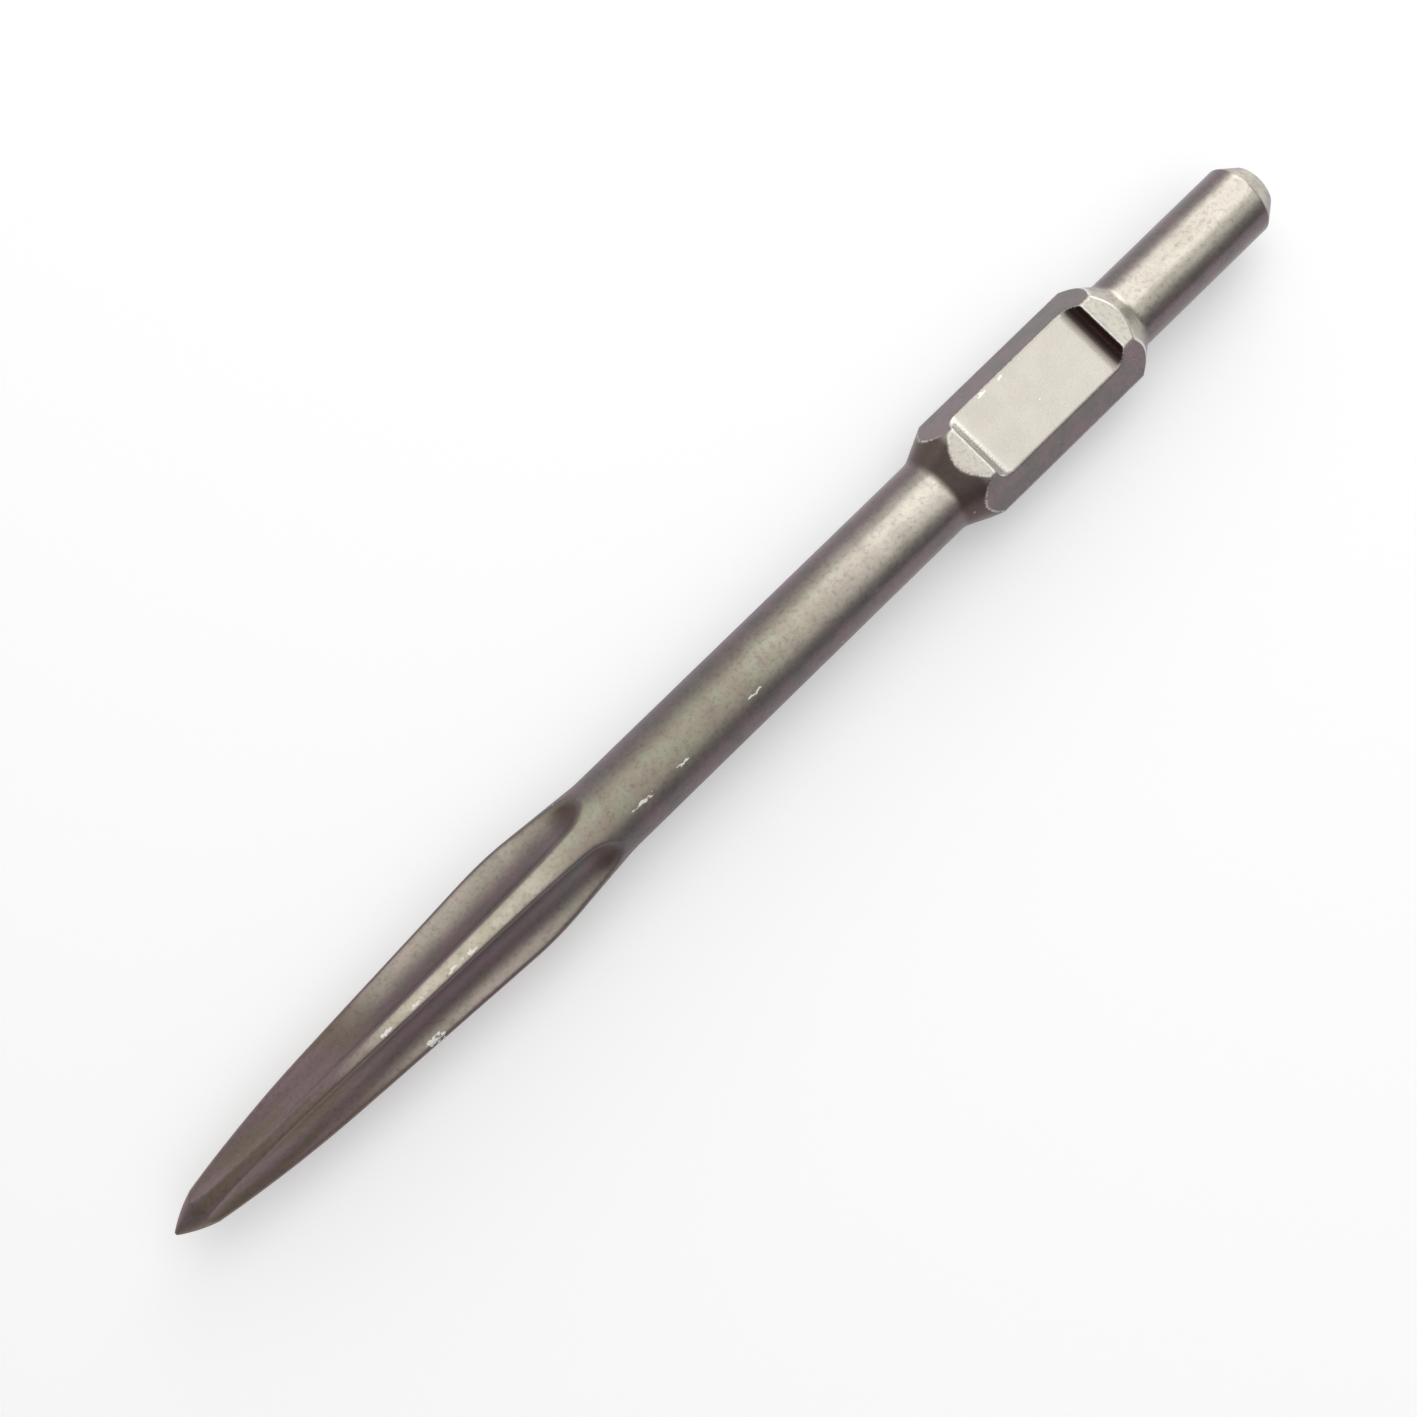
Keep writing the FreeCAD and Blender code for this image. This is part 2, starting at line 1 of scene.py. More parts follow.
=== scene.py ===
# %% [markdown]
# # A pointed chisel for a heavy breaker
#
# The chisel is one bar of tool steel. Its point was forged with four ribs and a hollow
# flute between each pair, its collar was cut from a hexagon and its tail was turned on a
# lathe. The bar lies on a white table, with the milled notch looking up.
#
# The packed model comes first, because every size below is a size of that solid. Its box is noted
# now.

import math

import bpy
from mathutils import Matrix, Vector
from mathutils.bvhtree import BVHTree


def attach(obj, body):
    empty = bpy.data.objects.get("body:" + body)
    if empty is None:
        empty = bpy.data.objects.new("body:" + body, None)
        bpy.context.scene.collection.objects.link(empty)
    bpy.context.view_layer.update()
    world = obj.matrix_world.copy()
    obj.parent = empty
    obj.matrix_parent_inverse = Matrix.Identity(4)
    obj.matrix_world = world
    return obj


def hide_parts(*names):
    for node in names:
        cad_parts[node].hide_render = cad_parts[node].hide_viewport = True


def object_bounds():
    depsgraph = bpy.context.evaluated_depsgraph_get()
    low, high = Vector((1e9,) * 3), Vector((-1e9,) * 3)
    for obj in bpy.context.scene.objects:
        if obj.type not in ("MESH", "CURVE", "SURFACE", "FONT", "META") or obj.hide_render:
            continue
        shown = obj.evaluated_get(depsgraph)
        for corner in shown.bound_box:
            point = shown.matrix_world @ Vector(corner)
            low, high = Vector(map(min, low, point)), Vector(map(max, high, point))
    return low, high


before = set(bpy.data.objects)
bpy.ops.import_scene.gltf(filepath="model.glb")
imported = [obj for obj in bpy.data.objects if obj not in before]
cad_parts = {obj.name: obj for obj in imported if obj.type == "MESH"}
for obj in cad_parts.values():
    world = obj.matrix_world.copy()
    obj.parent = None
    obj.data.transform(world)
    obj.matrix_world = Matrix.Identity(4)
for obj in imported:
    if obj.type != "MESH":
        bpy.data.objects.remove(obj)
cad_low, cad_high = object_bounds()
cad_size = cad_high - cad_low
print("The solid measures", [round(side * 1000, 2) for side in cad_size], "mm")

# %% [markdown]
# ## The sizes of the chisel
#
# A turned bar is described by stations: distances from the tip, each with its radius.
# These are the driving sizes of the solid, in metres. They could be measured from its
# mesh instead, but a mesh of flat triangles only knows its corners, and a satin bar shows
# every one of them in its highlight. So the same few sizes draw a finer surface here.

# %% Sizes along the bar
MM = 0.001
LENGTH = cad_size.x
AXIS_HEIGHT = cad_size.z / 2
BODY_RADIUS = 11.6 * MM
TAIL_RADIUS = 11 * MM
FLAT_RADIUS = 14.3 * MM
CORNER_RADIUS = FLAT_RADIUS / math.cos(math.radians(30)) - 0.15 * MM

TIP_RADIUS = 0.5 * MM
TIP_LENGTH = 10 * MM
TIP_BASE_RADIUS = 5.6 * MM
TIP_BULGE = 38 * MM
NOSE_END = 55 * MM
NOSE_RADIUS = 10.7 * MM
PEAK = 119 * MM
PEAK_RADIUS = 14.1 * MM
PEAK_ROUND = 110 * MM
FALL_ANGLE = math.radians(5.25)
RUNOUT_ROUND = 40 * MM

TAIL_LENGTH = 60.2 * MM
HEX_LENGTH = 54 * MM
HEX_REAR = LENGTH - TAIL_LENGTH
HEX_FRONT = HEX_REAR - HEX_LENGTH
FRONT_CONE = math.radians(25)
REAR_CONE = math.radians(39)
FRONT_ROOT = 6 * MM
REAR_ROOT = 3.5 * MM
END_CONE_LENGTH = 5.5 * MM
FACE_RADIUS = 7 * MM
END_EDGE = 0.8 * MM
print("Collar from", round(HEX_FRONT / MM, 1), "to", round(HEX_REAR / MM, 1), "mm from the tip")

# %% [markdown]
# ## Drawing an outline from arcs
#
# A lathe follows straight cuts and round ones, so two small helpers are all the pencil
# that the outline needs: one walks along a straight line, the other along an arc that
# leaves in the direction of travel. Each takes a step, because a plain stretch needs few
# stations and a tight root needs many.


# %% A pencil for outlines
def along_line(start, end, step):
    """Points from start up to, and without, end."""
    count = max(1, round((end - start).length / step))
    return [start.lerp(end, number / count) for number in range(count)]


def along_arc(centre, start, end, step):
    """Points on the shorter arc from start up to, and without, end."""
    first = start - centre
    turn = first.angle_signed(end - centre, 0)
    count = max(1, round(abs(turn) * first.length / step))
    return [
        centre + Matrix.Rotation(-turn * number / count, 2) @ first
        for number in range(count)
    ]


def heading(angle, length=1):
    """A step of this length at this angle from the bar's axis."""
    return Vector((math.cos(angle), math.sin(angle))) * length


quarter = along_arc(Vector((0, 0)), heading(0), heading(math.pi / 2), 0.1)
print("A quarter turn of radius 1 in steps of 0.1 takes", len(quarter), "points")

# %% [markdown]
# ## The outline of the point
#
# The point is a chain of curves: a bulging ground tip, a curved nose, a slow taper to the
# crown of the ribs, and a fall that sinks into the round body. Neighbours touch without
# a kink, except where the tip was ground, so the centre of each arc is worked out from
# the curve before it rather than picked by eye.

# %% Outline of the point
tip = Vector((0, TIP_RADIUS))
tip_base = Vector((TIP_LENGTH, TIP_BASE_RADIUS))
nose_end = Vector((NOSE_END, NOSE_RADIUS))
peak_centre = Vector((PEAK, PEAK_RADIUS - PEAK_ROUND))

tip_chord = tip_base - tip
tip_depth = math.sqrt(TIP_BULGE**2 - (tip_chord.length / 2) ** 2)
tip_centre = (tip + tip_base) / 2 + Vector((tip_chord.y, -tip_chord.x)).normalized() * tip_depth

to_peak = peak_centre - nose_end
taper_angle = math.atan2(to_peak.y, to_peak.x) + math.asin(PEAK_ROUND / to_peak.length)
peak_start = nose_end + heading(taper_angle, math.sqrt(to_peak.length**2 - PEAK_ROUND**2))

nose_chord = tip_base - nose_end
below_taper = heading(taper_angle - math.pi / 2)
nose_centre = nose_end + below_taper * (nose_chord.length**2 / 2 / nose_chord.dot(below_taper))

peak_end = peak_centre + heading(math.pi / 2 - FALL_ANGLE, PEAK_ROUND)
runout_height = BODY_RADIUS + RUNOUT_ROUND * (1 - math.cos(FALL_ANGLE))
runout_start = peak_end + Vector((1, -math.tan(FALL_ANGLE))) * (
    (peak_end.y - runout_height) / math.tan(FALL_ANGLE))
runout_centre = runout_start + heading(math.pi / 2 - FALL_ANGLE, RUNOUT_ROUND)
body_start = Vector((runout_centre.x, BODY_RADIUS))

COARSE = 1.6 * MM
MEDIUM = 0.8 * MM
FINE = 0.35 * MM
outline = along_line(Vector((0, 0)), tip, FINE)
outline += along_arc(tip_centre, tip, tip_base, FINE)
outline += along_arc(nose_centre, tip_base, nose_end, MEDIUM)
outline += along_line(nose_end, peak_start, COARSE)
outline += along_arc(peak_centre, peak_start, peak_end, COARSE)
outline += along_line(peak_end, runout_start, MEDIUM)
outline += along_arc(runout_centre, runout_start, body_start, MEDIUM / 2)
print(len(outline), "stations on the point, which ends", round(body_start.x / MM, 1), "mm back")

# %% [markdown]
# ## The retainer notch
#
# The breaker's retainer drops into a notch that a cutter milled across the upper flat.
# Seen from the side it is a flat floor with a round corner at each end, and the two edges
# that it leaves on the flat have lost their sharpness. That side view is all that the
# notch needs, because it is the same right across: for each station it gives the height
# to which the steel was cut down.

# %% Side view of the notch
NOTCH_LENGTH = 48 * MM
NOTCH_DEPTH = 4.6 * MM
NOTCH_CORNER = 5 * MM
NOTCH_EDGE = 0.7 * MM
UNCUT = 1.0

corner_depth = CORNER_RADIUS - FLAT_RADIUS
flat_front = HEX_FRONT - corner_depth / math.tan(FRONT_CONE)
flat_rear = HEX_REAR + corner_depth / math.tan(REAR_CONE)
notch_middle = (flat_front + flat_rear) / 2
notch_floor = FLAT_RADIUS - NOTCH_DEPTH


def half_notch():
    """Points (distance from the middle, height over the axis) from the floor to the flat."""
    half = NOTCH_LENGTH / 2
    corner_centre = Vector((half - NOTCH_CORNER, notch_floor + NOTCH_CORNER))
    edge_height = FLAT_RADIUS - NOTCH_EDGE
    reach = NOTCH_CORNER + NOTCH_EDGE
    edge_drop = corner_centre.y - edge_height
    edge_centre = Vector((corner_centre.x + math.sqrt(reach**2 - edge_drop**2), edge_height))
    wall_end = corner_centre + (edge_centre - corner_centre) * NOTCH_CORNER / reach
    floor_end = Vector((corner_centre.x, notch_floor))
    edge_end = Vector((edge_centre.x, FLAT_RADIUS))
    points = along_line(Vector((0, notch_floor)), floor_end, COARSE)
    points += along_arc(corner_centre, floor_end, wall_end, FINE)
    points += along_arc(edge_centre, wall_end, edge_end, NOTCH_EDGE / 4)
    return points + [edge_end]


half_profile = half_notch()
notch_profile = [Vector((-point.x, point.y)) for point in reversed(half_profile)]
notch_profile += half_profile[1:]
print("The notch floor lies", round(notch_floor / MM, 2), "mm over the axis")

# %% [markdown]
# ## The outline of the collar and the tail
#
# Behind the plain body the blank swells in a turned cone, runs level over the hexagon's
# corners and falls again to the tail. Inside the notch the stations are those of its side
# view, so that every bend of the notch falls on a ring of the mesh.

# %% Outline of the collar and the tail
front_corner = Vector((HEX_FRONT, CORNER_RADIUS))
rear_corner = Vector((HEX_REAR, CORNER_RADIUS))
front_foot = front_corner - heading(FRONT_CONE, (CORNER_RADIUS - BODY_RADIUS) / math.sin(FRONT_CONE))
rear_foot = rear_corner + heading(-REAR_CONE, (CORNER_RADIUS - TAIL_RADIUS) / math.sin(REAR_CONE))
front_reach = FRONT_ROOT * math.tan(FRONT_CONE / 2)
rear_reach = REAR_ROOT * math.tan(REAR_CONE / 2)
body_end = front_foot - heading(0, front_reach)
cone_start = front_foot + heading(FRONT_CONE, front_reach)
cone_end = rear_foot - heading(-REAR_CONE, rear_reach)
tail_start = rear_foot + heading(0, rear_reach)

outline += along_line(body_start, body_end, COARSE)
outline += along_arc(body_end + Vector((0, FRONT_ROOT)), body_end, cone_start, FINE)
outline += along_line(cone_start, front_corner, FINE)
notch_start = Vector((notch_middle + notch_profile[0].x, CORNER_RADIUS))
notch_end = Vector((notch_middle + notch_profile[-1].x, CORNER_RADIUS))
outline += along_line(front_corner, notch_start, FINE)
first_of_notch = len(outline)
outline += [Vector((notch_middle + point.x, CORNER_RADIUS)) for point in notch_profile]
after_notch = len(outline)
outline += along_line(notch_end, rear_corner, FINE)[1:]
outline += along_line(rear_corner, cone_end, FINE)
outline += along_arc(tail_start + Vector((0, REAR_ROOT)), cone_end, tail_start, FINE)


def round_corner(before, corner, after, radius):
    """The two ends and the centre of an arc that rounds a convex corner."""
    inward = (before - corner).normalized()
    onward = (after - corner).normalized()
    half_angle = inward.angle(onward) / 2
    reach = radius / math.tan(half_angle)
    centre = corner + (inward + onward).normalized() * radius / math.sin(half_angle)
    return corner + inward * reach, centre, corner + onward * reach


end_cone_start = Vector((LENGTH - END_CONE_LENGTH, TAIL_RADIUS))
struck_rim = Vector((LENGTH, FACE_RADIUS))
struck_centre = Vector((LENGTH, 0))
first_start, first_centre, first_end = round_corner(tail_start, end_cone_start, struck_rim, END_EDGE)
last_start, last_centre, last_end = round_corner(end_cone_start, struck_rim, struck_centre, END_EDGE)
outline += along_line(tail_start, first_start, COARSE)
outline += along_arc(first_centre, first_start, first_end, FINE / 2)
outline += along_line(first_end, last_start, MEDIUM)
outline += along_arc(last_centre, last_start, last_end, FINE / 2)
outline += along_line(last_end, struck_centre, COARSE) + [struck_centre]
print(len(outline), "stations in all, of which", after_notch - first_of_notch, "in the notch")

# %% [markdown]
# ## The flutes
#
# Each flute is the track of a long round hollow whose axis leans slightly, so that it
# bites deeper towards the crown of the ribs, and whose rear end is rounded like a bullet.
# At any one station such a hollow is simply a circle: its distance from the bar's axis and
# its radius are noted per station, as attributes of the outline. The nodes below then
# take that circle out of the bar. A boolean cut would do it too, but would leave long
# thin triangles along the ribs, just where the light runs.

# %% The flute's circle at each station
FLUTE_RADIUS = 10.5 * MM
FLUTE_FRONT_FLOOR = TIP_BASE_RADIUS - 0.4 * MM
FLUTE_REAR_FLOOR = PEAK_RADIUS - 5.4 * MM
FLUTE_END = PEAK + 30.5 * MM
FLUTE_NOSE = 20 * MM
FORGED_FADE = 25 * MM

lean = math.atan2(FLUTE_REAR_FLOOR - FLUTE_FRONT_FLOOR, PEAK - TIP_LENGTH)
flute_front = Vector((TIP_LENGTH, FLUTE_FRONT_FLOOR))
to_end = Vector((FLUTE_END, BODY_RADIUS)) - flute_front
floor_run = to_end.dot(heading(lean))
floor_run -= math.sqrt(FLUTE_NOSE**2 - (FLUTE_NOSE - to_end.dot(heading(lean + math.pi / 2))) ** 2)


def flute_circle(station):
    """Height of the flute's centre over the bar's axis, and its radius, at a station."""
    along = (station - flute_front.x) / math.cos(lean)
    floor = flute_front.y + along * math.sin(lean)
    past = min(max(along - floor_run, 0), FLUTE_NOSE)
    closing = FLUTE_NOSE - math.sqrt(FLUTE_NOSE**2 - past**2)
    return floor + FLUTE_RADIUS, max(FLUTE_RADIUS - closing, 0)


flute_circles = [flute_circle(point.x) for point in outline]
forged = [
    min(point.x / TIP_LENGTH, max((HEX_FRONT - point.x) / FORGED_FADE, 0), 1)
    for point in outline
]
notch_heights = [UNCUT] * len(outline)
notch_heights[first_of_notch:after_notch] = [point.y for point in notch_profile]

outline_mesh = bpy.data.meshes.new("chisel_outline")
outline_mesh.from_pydata([(point.x, point.y, 0) for point in outline], [], [])
for name, values in {
    "flute_height": [height for height, _ in flute_circles],
    "flute_radius": [radius for _, radius in flute_circles],
    "notch_height": notch_heights,
    "forged": forged,
}.items():
    outline_mesh.attributes.new(name, "FLOAT", "POINT").data.foreach_set("value", values)
print("The flute's floor leans", round(math.degrees(lean), 2), "degrees")

# %% [markdown]
# ## Writing formulas for nodes
#
# Geometry Nodes will wrap the outline round the axis and cut the flutes, the hexagon and
# the notch by formula. A formula of twenty Math nodes is hard to read as twenty calls, so
# this helper lets a socket be added, multiplied and compared as a number is: each sign
# places one Math node and wires it.


# %% Arithmetic on sockets
class Wire:
    """A value that flows in a node tree, on which arithmetic places Math nodes."""

    def __init__(self, tree, socket):
        self.tree = tree
        self.socket = socket

    def math(self, operation, *others):
        node = self.tree.nodes.new("ShaderNodeMath")
        node.operation = operation
        for slot, value in zip(node.inputs, (self, *others)):
            plug(slot, value)
        return Wire(self.tree, node.outputs[0])

    def __add__(self, other):
        return self.math("ADD", other)

    def __sub__(self, other):
        return self.math("SUBTRACT", other)

    def __mul__(self, other):
        return self.math("MULTIPLY", other)

    def __truediv__(self, other):
        return self.math("DIVIDE", other)

    def __lt__(self, other):
        return self.math("LESS_THAN", other)

    def __gt__(self, other):
        return self.math("GREATER_THAN", other)

    def __neg__(self):
        return self.math("MULTIPLY", -1)

    def squared(self):
        return self * self

    def root(self):
        return self.math("MAXIMUM", 0).math("SQRT")

    def sin(self):
        return self.math("SINE")

    def cos(self):
        return self.math("COSINE")

    def remainder(self, other):
        return self.math("FLOORED_MODULO", other)

    def clamped(self, low, high):
        return self.math("MAXIMUM", low).math("MINIMUM", high)


def plug(slot, value):
    """Give a socket a wire, or a plain number."""
    if isinstance(value, Wire):
        value.tree.links.new(value.socket, slot)
    else:
        slot.default_value = value


def choose(condition, if_true, if_false):
    """One of two values, by a condition that is 0 or 1."""
    node = condition.tree.nodes.new("ShaderNodeMix")
    node.data_type = "FLOAT"
    plug(node.inputs["Factor"], condition)
    plug(node.inputs["A"], if_false)
    plug(node.inputs["B"], if_true)
    return Wire(condition.tree, node.outputs["Result"])


print("A wire knows", len([name for name in vars(Wire) if name != "__init__"]), "operations")

# %% [markdown]
# ## One section through the ribs
#
# Cut the point square to its axis and every section is the same drawing: the round of the
# blank, the hollow circle of the flute, and a small arc that rounds the rib's edge and
# touches both. With the angle measured from the middle of the flute, each of the three
# has a plain formula for its distance from the axis, and two limiting angles say which
# of them counts. This is a node group with named inputs, so that it stays one idea.


# %% Node group for a rib section
def new_group(name, inputs, outputs):
    """An empty geometry node group with float sockets, and wires from its inputs."""
    tree = bpy.data.node_groups.new(name, "GeometryNodeTree")
    for label in inputs:
        tree.interface.new_socket(label, in_out="INPUT", socket_type="NodeSocketFloat")
    for label in outputs:
        tree.interface.new_socket(label, in_out="OUTPUT", socket_type="NodeSocketFloat")
    given = tree.nodes.new("NodeGroupInput")
    result = tree.nodes.new("NodeGroupOutput")
    return tree, [Wire(tree, given.outputs[label]) for label in inputs], result


def make_rib_section():
    tree, wires, result = new_group(
        "Rib Section",
        ["Angle", "Half Spacing", "Blank Radius", "Flute Height", "Flute Radius", "Edge Radius"],
        ["Radius", "Crest"],
    )
    angle, half_spacing, blank, height, hollow_radius, edge = wires
    inner = blank - edge
    outer = hollow_radius + edge
    edge_cosine = (inner.squared() + height.squared() - outer.squared()) / (inner * height * 2)
    edge_angle = edge_cosine.clamped(-1, 1).math("ARCCOSINE")
    share = hollow_radius / outer
    touch_across = inner * edge_angle.sin() * share
    touch_up = height + (inner * edge_angle.cos() - height) * share
    touch_angle = touch_across.math("ARCTAN2", touch_up)
    hollow = height * angle.cos()
    hollow = hollow - (hollow_radius.squared() - (height * angle.sin()).squared()).root()
    past_edge = edge_angle - angle
    rounded = inner * past_edge.cos()
    rounded = rounded + (edge.squared() - (inner * past_edge.sin()).squared()).root()
    ribbed = choose(angle < touch_angle, hollow, choose(angle < edge_angle, rounded, blank))
    is_cut = (height - hollow_radius) < blank
    crest = (angle - touch_angle) / (half_spacing - touch_angle)
    plug(result.inputs["Radius"], choose(is_cut, ribbed, blank))
    plug(result.inputs["Crest"], crest.clamped(0, 1) * is_cut)
    return tree


rib_section = make_rib_section()
print("The rib section takes", len(rib_section.nodes), "nodes")

# %% [markdown]
# ## Wrapping and cutting the blank
#
# A grid of points, one row per station and one column per direction, is folded round the
# axis like paper round a pencil. Its distance from the axis starts as the ribbed section,
# then the hexagon and the notch take away what lies outside them. Both cuts use a smooth
# minimum, which rounds the meeting edge a little, as handling and blasting do. A boolean
# chain would give razor edges that no light can catch.
#
# The nodes also note where they cut and which way the surface faces. Those masks, stored as
# attributes, later tell the material where the steel is milled, where it is on a crest or an edge,
# which are worn and also get painted highlights, and which side of the bar, or which wall of the
# notch, it is on, which decides where painted shade and painted highlights go.

# %% Helpers for geometry trees
FULL_TURN = 2 * math.pi
HEX_STEP = math.radians(60)
STRAIGHT_UP = math.radians(90)


def field(tree, kind, output, **settings):
    """One output of a new node, as a wire."""
    node = tree.nodes.new(kind)
    for name, value in settings.items():
        setattr(node, name, value)
    return Wire(tree, node.outputs[output])


def split(vector):
    """The three parts of a vector."""
    node = vector.tree.nodes.new("ShaderNodeSeparateXYZ")
    plug(node.inputs[0], vector)
    return [Wire(vector.tree, node.outputs[label]) for label in "XYZ"]


def join(x, y, z):
    """A vector from three wires."""
    node = x.tree.nodes.new("ShaderNodeCombineXYZ")
    for slot, value in zip(node.inputs, (x, y, z)):
        plug(slot, value)
    return Wire(x.tree, node.outputs[0])


def through(geometry, kind, **inputs):
    """Pass a geometry through a new node and return what comes out."""
    node = geometry.tree.nodes.new(kind)
    plug(node.inputs[0], geometry)
    for label, value in inputs.items():
        plug(node.inputs[label.replace("_", " ")], value)
    return Wire(geometry.tree, node.outputs[0])


def at_station(outline_geometry, index, name=None):
    """What the outline holds at a station: its position, or an attribute of that name."""
    tree = index.tree
    sample = tree.nodes.new("GeometryNodeSampleIndex")
    sample.domain = "POINT"
    if name is None:
        sample.data_type = "FLOAT_VECTOR"
        held = field(tree, "GeometryNodeInputPosition", 0)
    else:
        sample.data_type = "FLOAT"
        held = field(tree, "GeometryNodeInputNamedAttribute", 0, data_type="FLOAT")
        held.socket.node.inputs["Name"].default_value = name
    plug(sample.inputs["Geometry"], outline_geometry)
    plug(sample.inputs["Value"], held)
    plug(sample.inputs["Index"], index)
    return Wire(tree, sample.outputs[0])


def smooth_minimum(first, second, distance):
    """The smaller of two values, with their crossing rounded over a distance."""
    return first.math("SMOOTH_MIN", second, distance)


def nearness(distance, band):
    """1 where a distance is 0, falling to 0 over a band."""
    return (-(distance.math("ABSOLUTE") / band) + 1).clamped(0, 1)


def note(geometry, name, value):
    """Store a mask on the points under a name."""
    node = geometry.tree.nodes.new("GeometryNodeStoreNamedAttribute")
    node.data_type = "FLOAT"
    node.domain = "POINT"
    node.inputs["Name"].default_value = name
    plug(node.inputs["Geometry"], geometry)
    plug(node.inputs["Value"], value)
    return Wire(geometry.tree, node.outputs[0])


print("The hexagon repeats every", round(math.degrees(HEX_STEP)), "degrees")

# %% [markdown]
# ## The bar's inputs
#
# Everything that a maker might want to change is an input of the tree with a name: how
# many columns the grid has, how the ribs are spaced and turned against the hexagon, how
# far the edges are worn and how uneven the hammer left the forged steel.

# %% Node tree for the whole bar
BAR_INPUTS = {
    "Segments": ("NodeSocketFloat", 192),
    "Tip Position": ("NodeSocketFloat", cad_low.x),
    "Axis Height": ("NodeSocketFloat", AXIS_HEIGHT),
    "Rib Spacing": ("NodeSocketFloat", math.radians(90)),
    "Rib Turn": ("NodeSocketFloat", math.radians(5.5)),
    "Rib Edge": ("NodeSocketFloat", 1.6 * MM),
    "Flat Radius": ("NodeSocketFloat", FLAT_RADIUS),
    "Collar Start": ("NodeSocketFloat", body_end.x),
    "Worn Edge": ("NodeSocketFloat", 0.5 * MM),
    "Milled Edge": ("NodeSocketFloat", 0.35 * MM),
    "Unevenness": ("NodeSocketFloat", 0.08 * MM),
    "Hammering": ("NodeSocketFloat", 110.0),
    "Steels": ("NodeSocketMaterial", None),
}
EDGE_BAND = 0.9 * MM
MILLED_BAND = 0.05 * MM
PLANED_BAND = 0.3 * MM
FLUTED_BAND = 1.5 * MM
MERGE_DISTANCE = 0.002 * MM


def make_bar_tree():
    tree = bpy.data.node_groups.new("Ribbed Hexagon Bar", "GeometryNodeTree")
    tree.interface.new_socket("Outline", in_out="INPUT", socket_type="NodeSocketGeometry")
    for label, (kind, value) in BAR_INPUTS.items():
        socket = tree.interface.new_socket(label, in_out="INPUT", socket_type=kind)
        if value is not None:
            socket.default_value = value
    tree.interface.new_socket("Bar", in_out="OUTPUT", socket_type="NodeSocketGeometry")
    given = tree.nodes.new("NodeGroupInput").outputs
    size = {label: Wire(tree, given[label]) for label in BAR_INPUTS}
    drawn = Wire(tree, given["Outline"])

    columns = size["Segments"] + 1
    counter = field(tree, "GeometryNodeAttributeDomainSize", "Point Count")
    plug(counter.socket.node.inputs["Geometry"], drawn)
    paper = field(tree, "GeometryNodeMeshGrid", "Mesh")
    plug(paper.socket.node.inputs["Vertices X"], counter)
    plug(paper.socket.node.inputs["Vertices Y"], columns)
    index = field(tree, "GeometryNodeInputIndex", 0)
    row = (index / columns).math("FLOOR")
    theta = index.remainder(columns) / size["Segments"] * FULL_TURN

    station, blank, _ = split(at_station(drawn, row))
    hollow_radius = at_station(drawn, row, "flute_radius")
    hollow_height = at_station(drawn, row, "flute_height")
    from_rib = (theta - size["Rib Turn"] - STRAIGHT_UP).remainder(size["Rib Spacing"])
    from_flute = (from_rib - size["Rib Spacing"] / 2).math("ABSOLUTE")
    section = tree.nodes.new("GeometryNodeGroup")
    section.node_tree = rib_section
    for label, value in {
        "Angle": from_flute,
        "Half Spacing": size["Rib Spacing"] / 2,
        "Blank Radius": blank,
        "Flute Height": hollow_height,
        "Flute Radius": hollow_radius,
        "Edge Radius": size["Rib Edge"],
    }.items():
        plug(section.inputs[label], value)
    ribbed = Wire(tree, section.outputs["Radius"])
    crest = Wire(tree, section.outputs["Crest"])

    from_flat = (theta - STRAIGHT_UP + HEX_STEP / 2).remainder(HEX_STEP) - HEX_STEP / 2
    flat = size["Flat Radius"] / from_flat.cos()
    on_collar = station > size["Collar Start"]
    hexed = choose(on_collar, smooth_minimum(ribbed, flat, size["Worn Edge"]), ribbed)
    floor = at_station(drawn, row, "notch_height") / theta.sin().math("MAXIMUM", 0.01)
    cut = smooth_minimum(hexed, floor, size["Milled Edge"])

    milled = ((hexed - floor) / MILLED_BAND).clamped(0, 1)
    planed = ((ribbed - flat) / PLANED_BAND).clamped(0, 1) * on_collar
    corner = nearness(ribbed - flat, EDGE_BAND) * on_collar * (-milled + 1)
    lip = nearness(hexed - floor, EDGE_BAND)

    noise = field(tree, "ShaderNodeTexNoise", 0)
    plug(noise.socket.node.inputs["Vector"], join(station, cut * theta.cos(), cut * theta.sin()))
    plug(noise.socket.node.inputs["Scale"], size["Hammering"])
    hammered = noise * size["Unevenness"] * at_station(drawn, row, "forged")
    radius = cut - hammered
    folded = through(
        paper,
        "GeometryNodeSetPosition",
        Position=join(
            station + size["Tip Position"],
            radius * theta.cos(),
            radius * theta.sin() + size["Axis Height"],
        ),
    )
    for name, value in {
        "crest": crest,
        "fluted": ((blank - ribbed) / FLUTED_BAND).clamped(0, 1),
        "edge": corner.math("MAXIMUM", lip),
        "milled": milled,
        "planed": planed,
    }.items():
        folded = note(folded, name, value)
    closed = through(folded, "GeometryNodeMergeByDistance", Distance=MERGE_DISTANCE)
    outward = through(closed, "GeometryNodeFlipFaces")
    for axis, value in zip("xyz", split(field(tree, "GeometryNodeInputNormal", "Normal"))):
        outward = note(outward, f"facing_{axis}", value)
    smooth = through(outward, "GeometryNodeSetShadeSmooth")
    real = through(smooth, "GeometryNodeRealizeInstances")
    dressed = through(real, "GeometryNodeSetMaterial", Material=size["Steels"])
    plug(tree.nodes.new("NodeGroupOutput").inputs["Bar"], dressed)
    return tree


bar_tree = make_bar_tree()
print("The bar's tree has", len(bar_tree.nodes), "nodes")

# %% [markdown]
# ## Forging the mesh
#
# The outline is given the tree as a modifier, its inputs are set by their identifiers, and
# the result is baked to a plain mesh that no longer depends on any nodes. Comparing the
# result with the packed solid shows whether both follow the same drawing.

